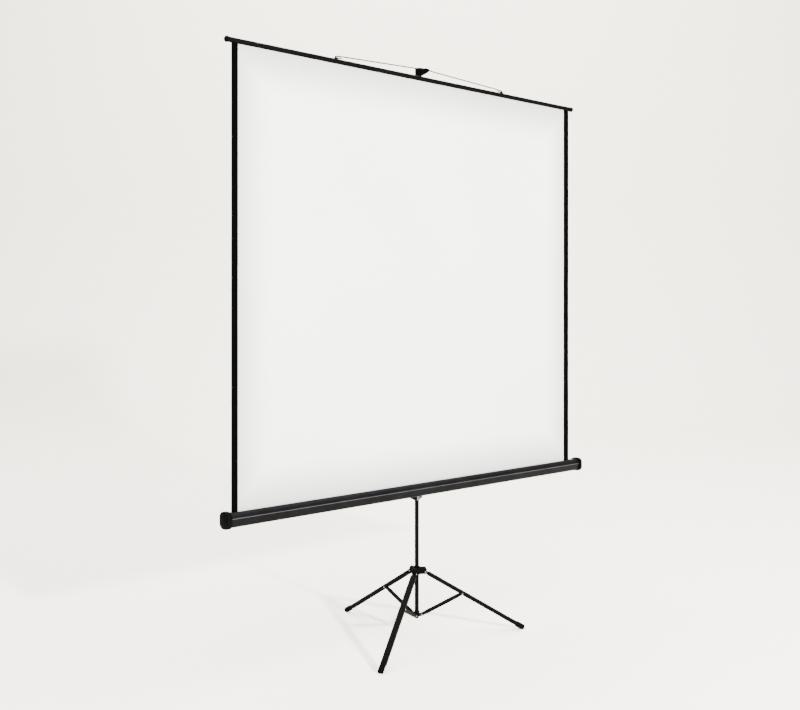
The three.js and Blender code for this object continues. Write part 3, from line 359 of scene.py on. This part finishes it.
# Spring roller: a plated steel tube on two pins, with the torsion spring round its spindle. It turns
# inside the case and shows only through the slot.
for node, body in (("roller_tube", "roller"), ("idle_pin", "case"), ("spring_spindle", "case"),
                   ("torsion_spring", "case")):
    finished(node, body, zinc_plate, 0)
finished("roller_plug_left", "roller", moulded_abs)
finished("roller_plug_right", "roller", moulded_abs)

# Screen fabric: coated cloth 2.00 m wide, matte white in front with a black margin printed down each side,
# and a black backing. It leaves the roll through the slot and hangs from the rail by its hem.
# Two lengths lap above mid height.
LAP_Z = 1.62
LAP = 0.100
SHEET_THICK = 0.0004
LAP_GAP = 0.0002
MARGIN = 0.030
RIGHT_MARGIN = 0.038
COLUMNS, ROWS = 96, 40
fabric_low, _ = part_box("border_left")
_, fabric_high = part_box("border_right")
rail_low, rail_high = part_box("top_rail")
fabric_y = (rail_low.y + rail_high.y) / 2
fabric_x = (fabric_low.x + fabric_high.x) / 2
half_width = (fabric_high.x - fabric_low.x) / 2

# Vinyl-coated cloth: an even matte white whose weave shows as a fine relief. The map runs in metres, across
# from the cloth's middle and up from the floor, so the print stays on it as it moves.
# The weave is drawn at 2 mm, coarser than the cloth's own threads, so that it shows at all.
WEAVE_MM = 2.0
WEAVE_DEPTH = 0.0001
WEAVE_RELIEF = 0.15
WAVE_PERIOD = 0.314  # of a wave texture at scale 1
TONE_MM = 625
# The breadth and depth of the painted shade at the cloth's edges.
SHADE_BAND = 0.20
EDGE_SHADE = 0.56
screen_cloth, cloth_tree, cloth_shader = new_material("matte_white_screen_cloth", Roughness=0.85,
                                                      Specular_IOR_Level=0.005)
cloth_place = add(cloth_tree, "ShaderNodeUVMap", uv_map="cloth").outputs["UV"]
across = add(cloth_tree, "ShaderNodeSeparateXYZ", {"Vector": cloth_place}).outputs["X"]
reach = add(cloth_tree, "ShaderNodeMath", {0: across}, operation="ABSOLUTE")
left = add(cloth_tree, "ShaderNodeMath", {0: across}, operation="LESS_THAN")
left.inputs[1].default_value = MARGIN - half_width
right = add(cloth_tree, "ShaderNodeMath", {0: across}, operation="GREATER_THAN")
right.inputs[1].default_value = half_width - RIGHT_MARGIN
margin = add(cloth_tree, "ShaderNodeMath", {0: left.outputs[0], 1: right.outputs[0]}, operation="MAXIMUM")
tone = add(cloth_tree, "ShaderNodeTexNoise", {"Vector": cloth_place}, Scale=1000 / TONE_MM, Detail=2.0)
white = two_tone(cloth_tree, tone.outputs["Fac"], "#d6d6d2", "#dcdcd8")
# Painted shade: the white is darkened towards the edges of the picture area.
heights = add(cloth_tree, "ShaderNodeSeparateXYZ", {"Vector": cloth_place}).outputs["Y"]
middle = add(cloth_tree, "ShaderNodeMath", {0: heights}, operation="SUBTRACT")
middle.inputs[1].default_value = (rail_low.z + shell_high.z) / 2
rise = add(cloth_tree, "ShaderNodeMath", {0: middle.outputs[0]}, operation="ABSOLUTE")
unshaded = []
for distance, far in ((reach, half_width), (rise, (rail_low.z - shell_high.z) / 2)):
    unshaded.append(add(cloth_tree, "ShaderNodeMapRange", {"Value": distance.outputs[0]},
                     interpolation_type="SMOOTHSTEP", From_Min=far - SHADE_BAND, From_Max=far,
                     To_Min=1.0, To_Max=EDGE_SHADE).outputs["Result"])
shade = add(cloth_tree, "ShaderNodeMath", {0: unshaded[0], 1: unshaded[1]}, operation="MINIMUM")
greyed = add(cloth_tree, "ShaderNodeVectorMath", {0: white}, operation="SCALE")
cloth_tree.links.new(shade.outputs[0], greyed.inputs["Scale"])
printed = add(cloth_tree, "ShaderNodeMix", {0: margin.outputs[0], 6: greyed.outputs[0]}, data_type="RGBA")
printed.inputs[7].default_value = linear("#020202")
cloth_tree.links.new(printed.outputs[2], cloth_shader.inputs["Base Color"])
threads = [add(cloth_tree, "ShaderNodeTexWave", {"Vector": cloth_place}, bands_direction=direction,
               Scale=WAVE_PERIOD * 1000 / WEAVE_MM).outputs["Fac"] for direction in ("X", "Y")]
weave = add(cloth_tree, "ShaderNodeMath", {0: threads[0], 1: threads[1]}, operation="MULTIPLY")
relief = add(cloth_tree, "ShaderNodeBump", {"Height": weave.outputs[0]},
             Strength=WEAVE_RELIEF, Distance=WEAVE_DEPTH)
cloth_tree.links.new(relief.outputs["Normal"], cloth_shader.inputs["Normal"])
black_backing = speckled("black_cloth_backing", "#0e0e0f", "#141415", 2.0, 0.05, (0.8, 0.95),
                         Specular_IOR_Level=0.03)


def fabric_length(name, bottom, top, set_back):
    """A taut length of the fabric between two heights, white in front and black behind."""
    sheet = bmesh.new()
    cloth_map = sheet.loops.layers.uv.new("cloth")
    bmesh.ops.create_grid(sheet, x_segments=COLUMNS, y_segments=ROWS, size=0.5)
    bmesh.ops.rotate(sheet, verts=sheet.verts, cent=(0, 0, 0), matrix=Matrix.Rotation(math.pi / 2, 3, "X"))
    bmesh.ops.scale(sheet, verts=sheet.verts, vec=(2 * half_width, 1, top - bottom))
    bmesh.ops.translate(sheet, verts=sheet.verts, vec=(fabric_x, fabric_y + set_back, (bottom + top) / 2))
    for face in sheet.faces:
        for loop in face.loops:
            loop[cloth_map].uv = (loop.vert.co.x - fabric_x, loop.vert.co.z)
    bmesh.ops.recalc_face_normals(sheet, faces=sheet.faces)
    if sum(face.normal.y for face in sheet.faces) > 0:
        bmesh.ops.reverse_faces(sheet, faces=sheet.faces)
    bmesh.ops.solidify(sheet, geom=sheet.faces[:], thickness=SHEET_THICK)
    piece = piece_of(sheet, name, screen_cloth)
    piece.data.materials.append(black_backing)
    for face in piece.data.polygons:
        face.material_index = 1 if max(face.normal.y, face.normal.z) > 0.5 else 0
    return piece


HEM = 0.004
ROLL_GAP = 0.001
hem_z = rail_low.z + HEM
slot_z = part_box("fabric_roll")[1].z + ROLL_GAP
upper_fabric = fabric_length("screen_fabric_upper", LAP_Z, hem_z, 0.0)
lower_fabric = fabric_length("screen_fabric_lower", slot_z, LAP_Z + LAP, SHEET_THICK + LAP_GAP)
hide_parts("screen_fabric", "border_left", "border_right")
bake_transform(upper_fabric)
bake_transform(lower_fabric)
finished("fabric_roll", "roller", black_backing, 0)

# Top rail: black coated steel tube, 21 mm across, slotted below for the fabric's hem, with a rounded
# moulded cap pushed into each end.
RAIL_WALL = 0.0015
RAIL_SLOT = 0.0024
RAIL_STEPS = 48
rail_r = (rail_high.y - rail_low.y) / 2
rail_axis = Vector((rail_low.x, fabric_y, rail_high.z - rail_r))
slot_turn = 2 * math.asin(RAIL_SLOT / 2 / (rail_r - RAIL_WALL))
rail_shape = bmesh.new()
rail_section = [rail_shape.verts.new((x, 0, -r)) for x, r in (
    (0, rail_r - RAIL_WALL), (0, rail_r), (rail_high.x - rail_low.x, rail_r),
    (rail_high.x - rail_low.x, rail_r - RAIL_WALL))]
rail_edges = [rail_shape.edges.new((rail_section[i - 1], rail_section[i])) for i in range(4)]
bmesh.ops.rotate(rail_shape, verts=rail_section, cent=(0, 0, 0),
                 matrix=Matrix.Rotation(slot_turn / 2, 3, "X"))
bmesh.ops.spin(rail_shape, geom=rail_section + rail_edges, cent=(0, 0, 0), axis=(1, 0, 0),
               angle=2 * math.pi - slot_turn, steps=RAIL_STEPS)
bmesh.ops.holes_fill(rail_shape, edges=[edge for edge in rail_shape.edges if edge.is_boundary])
bmesh.ops.recalc_face_normals(rail_shape, faces=rail_shape.faces)
bmesh.ops.translate(rail_shape, verts=rail_shape.verts, vec=rail_axis)
rail = piece_of(rail_shape, "top_rail_drawn", powder_coat)
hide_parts("top_rail")
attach(rail, "extension")

CAP_R = 0.0123
CAP_STRAIGHT = 0.005
CAP_LENGTH = 0.014
CAP_PLUG = 0.0045
CAP_LIP = 0.0006
CAP_STEPS = 9
plug_r = rail_r - RAIL_WALL - FIT
cap_profile = [(0, -CAP_PLUG), (plug_r, -CAP_PLUG), (plug_r, FIT), (CAP_R - CAP_LIP, FIT),
               (CAP_R, FIT + CAP_LIP)]
for step in range(CAP_STEPS):
    bend_angle = step / CAP_STEPS * math.pi / 2
    cap_profile.append((CAP_R * math.cos(bend_angle),
                        CAP_STRAIGHT + (CAP_LENGTH - CAP_STRAIGHT) * math.sin(bend_angle)))
cap_profile.append((0, CAP_LENGTH))
for side, rail_end, way in (("left", rail_low.x, -1), ("right", rail_high.x, 1)):
    cap_shape = turned(cap_profile, (rail_end, rail_axis.y, rail_axis.z), (way, 0, 0))
    rail_cap = piece_of(cap_shape, f"rail_cap_{side}_moulded", moulded_abs)
    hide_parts(f"rail_cap_{side}")
    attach(rail_cap, "extension")

# Bail: a stiff steel wire in a black sleeve, looped through two eyelets on the rail and lifted at its
# middle by the hook. The eyelets are pressed steel with a dark oxide finish.
SLEEVE = 0.0010
# Oxide and vinyl are both black and dull, and rubbed a little lighter here and there.
dark_wire = speckled("black_sleeved_wire", "#030303", "#080808", 1.2, 0.03, (0.40, 0.52),
                     Specular_IOR_Level=0.015)
bail = finished("bail_wire", "extension", dark_wire, 0, 70)
for vert in bail.data.vertices:
    vert.co += vert.normal * SLEEVE
finished("eyelet_left", "extension", dark_wire, 0.3)
finished("eyelet_right", "extension", dark_wire, 0.3)

# Hook: a moulded head whose sleeve is pushed over the mast's top. A thick stem behind the rail carries
# a beak that reaches forward over it, with a hollow for the wire in its top.
HOOK_THICK = 0.012
HOOK_SLEEVE_R, HOOK_SLEEVE, HOOK_BORE = 0.0105, 0.050, 0.0079
STEM_BACK, STEM_FRONT = 0.006, -0.024
STEM_SINK = 0.006
HOOK_RISE = 0.008
HOOK_ROUND = 0.005
HOOK_EDGE_MM = 1.2
CROWN_REACH = 0.020
MOUTH, MOUTH_RISE = 0.010, 0.001
HOLLOW_R, HOLLOW_DROP = 0.0026, 0.0065
LIP, LIP_RISE = 0.005, 0.0065
NOSE, BEAK_DROP = 0.014, 0.013
CHIN, CHIN_RISE = 0.016, 0.004
THROAT_REACH, THROAT_DROP = 0.010, 0.028
hook_low, hook_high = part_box("hook_head")
hook_top = hook_high.z
hollow_z = hook_top - HOLLOW_DROP
stem_foot = hook_low.z + HOOK_SLEEVE - STEM_SINK


def curve(start, control, end, steps=6):
    """Points on a quadratic curve, without its start."""
    return [Vector(start).lerp(Vector(control), t).lerp(Vector(control).lerp(Vector(end), t), t)
            for t in (step / steps for step in range(1, steps + 1))]


back, front = mast_y + STEM_BACK, mast_y + STEM_FRONT
crown = hook_top + HOOK_RISE
beak = (hook_low.y, hook_top - BEAK_DROP)
throat = (front - THROAT_REACH, hook_top - THROAT_DROP)
outline = [(back, stem_foot), (back, crown - HOOK_ROUND)]
outline += curve(outline[-1], (back, crown), (back - HOOK_ROUND, crown))
outline += curve(outline[-1], (mast_y - CROWN_REACH, crown), (fabric_y + MOUTH, hook_top + MOUTH_RISE))
for step in range(ARC_STEPS + 1):
    bend_angle = step / ARC_STEPS * math.pi
    outline.append((fabric_y + HOLLOW_R * math.cos(bend_angle), hollow_z - HOLLOW_R * math.sin(bend_angle)))
outline.append((fabric_y - LIP, hollow_z - HOLLOW_R + LIP_RISE))
outline += curve(outline[-1], (fabric_y - NOSE, hook_top), beak)
outline += curve(beak, (fabric_y - CHIN, throat[1] + CHIN_RISE), throat)
outline += curve(throat, (front, throat[1]), (front, throat[1] - THROAT_REACH))
outline.append((front, stem_foot))
hook_shape = turned(tube_profile(HOOK_SLEEVE_R, HOOK_SLEEVE_R - HOOK_BORE, HOOK_SLEEVE, TUBE_EDGE),
                    (mast_x, mast_y, hook_low.z), (0, 0, 1))
side_verts = [hook_shape.verts.new((mast_x - HOOK_THICK / 2, y, z)) for y, z in outline]
side_face = hook_shape.faces.new(side_verts)
thick = bmesh.ops.extrude_face_region(hook_shape, geom=[side_face], use_keep_orig=True)
bmesh.ops.translate(hook_shape, vec=(HOOK_THICK, 0, 0),
                    verts=[v for v in thick["geom"] if isinstance(v, bmesh.types.BMVert)])
bmesh.ops.recalc_face_normals(hook_shape, faces=hook_shape.faces)
hook = piece_of(hook_shape, "hook_head_moulded", moulded_abs)
break_edges(hook, HOOK_EDGE_MM)
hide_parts("hook_head")
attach(hook, "extension")

# Camera: level, in front and to the left of the screen, at eye height. Its place, lens and rise come
# from the photograph's vanishing point and the places of the rail, case, mast and feet.
VIEW_TURN = math.radians(42.04)
VIEW_RIGHT = 0.0748
VIEW_DISTANCE = 4.544
EYE_HEIGHT = 1.4564
FOCAL_PX = 1022.5
HORIZON_PX = 308.3
IMAGE_PX = (800, 710)
turn_cos = math.cos(VIEW_TURN)
turn_sin = math.sin(VIEW_TURN)
lens = bpy.data.cameras.new("photo_lens")
lens.sensor_width = 36.0
lens.sensor_fit = "HORIZONTAL"
lens.lens = lens.sensor_width * FOCAL_PX / IMAGE_PX[0]
lens.shift_y = (HORIZON_PX - IMAGE_PX[1] / 2) / IMAGE_PX[0]
camera = bpy.data.objects.new("photo_camera", lens)
camera.location = (
    mast_x - VIEW_RIGHT * turn_cos - VIEW_DISTANCE * turn_sin,
    mast_y + VIEW_RIGHT * turn_sin - VIEW_DISTANCE * turn_cos,
    EYE_HEIGHT,
)
camera.rotation_euler = (math.pi / 2, 0, -VIEW_TURN)
bpy.context.scene.collection.objects.link(camera)
bpy.context.scene.camera = camera

# Studio: a pale paper floor that sweeps up into a pale wall, under a broad soft ceiling light. One lamp in
# front of the screen, high and a little to the left, throws the legs' shadows behind them.
FLOOR_FRONT, FLOOR_BACK = -12.0, 7.0
SWEEP_R = 3.0
WALL_TOP = 9.0
STAGE_HALF = 14.0
SWEEP_STEPS = 12
sweep = bmesh.new()
sweep_line = [sweep.verts.new((-STAGE_HALF, along, 0)) for along in (FLOOR_FRONT, FLOOR_BACK)]
sweep.edges.new(sweep_line)
bend = bmesh.ops.spin(sweep, geom=[sweep_line[1]], cent=(0, FLOOR_BACK, SWEEP_R), axis=(1, 0, 0),
                      angle=math.pi / 2, steps=SWEEP_STEPS)
wall_foot = next(v for v in bend["geom_last"] if isinstance(v, bmesh.types.BMVert))
wall_head = sweep.verts.new((-STAGE_HALF, wall_foot.co.y, WALL_TOP))
sweep.edges.new((wall_foot, wall_head))
drawn = bmesh.ops.extrude_edge_only(sweep, edges=sweep.edges[:])
moved = [v for v in drawn["geom"] if isinstance(v, bmesh.types.BMVert)]
bmesh.ops.translate(sweep, verts=moved, vec=(2 * STAGE_HALF, 0, 0))
bmesh.ops.rotate(sweep, verts=sweep.verts, cent=(0, 0, 0), matrix=Matrix.Rotation(-VIEW_TURN, 3, "Z"))
bmesh.ops.recalc_face_normals(sweep, faces=sweep.faces)
# Backdrop paper: matte and even, with the faint mottle of its fibres.
backdrop_paper = speckled("backdrop_paper", "#f4f0e3", "#f6f2e5", 3.0, 0.05, (0.85, 0.95),
                          Specular_IOR_Level=0.1)
studio = piece_of(sweep, "studio_sweep", backdrop_paper, 60)
studio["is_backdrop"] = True

SKY_STRENGTH = 0.9
sky = bpy.data.worlds.new("studio_sky")
sky.use_nodes = True
sky.node_tree.nodes["Background"].inputs["Color"].default_value = linear("#ffffff")
sky.node_tree.nodes["Background"].inputs["Strength"].default_value = SKY_STRENGTH
bpy.context.scene.world = sky


def soft_lamp(name, shape, size, watts, place, aim):
    """An area lamp of a size in metres, turned to a place."""
    data = bpy.data.lights.new(name, "AREA")
    data.shape = shape
    data.size = size
    data.energy = watts
    lamp = bpy.data.objects.new(name, data)
    lamp.location = place
    lamp.rotation_euler = (Vector(aim) - Vector(place)).to_track_quat("-Z", "Y").to_euler()
    bpy.context.scene.collection.objects.link(lamp)


soft_lamp("ceiling_lamp", "SQUARE", 14.0, 5600, (1.6, 1.8, 9.5), (1.6, 1.8, 0))
soft_lamp("key_lamp", "DISK", 0.6, 4200, (-0.95, -9.0, 3.8), (0, 0, 1.0))

low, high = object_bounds()
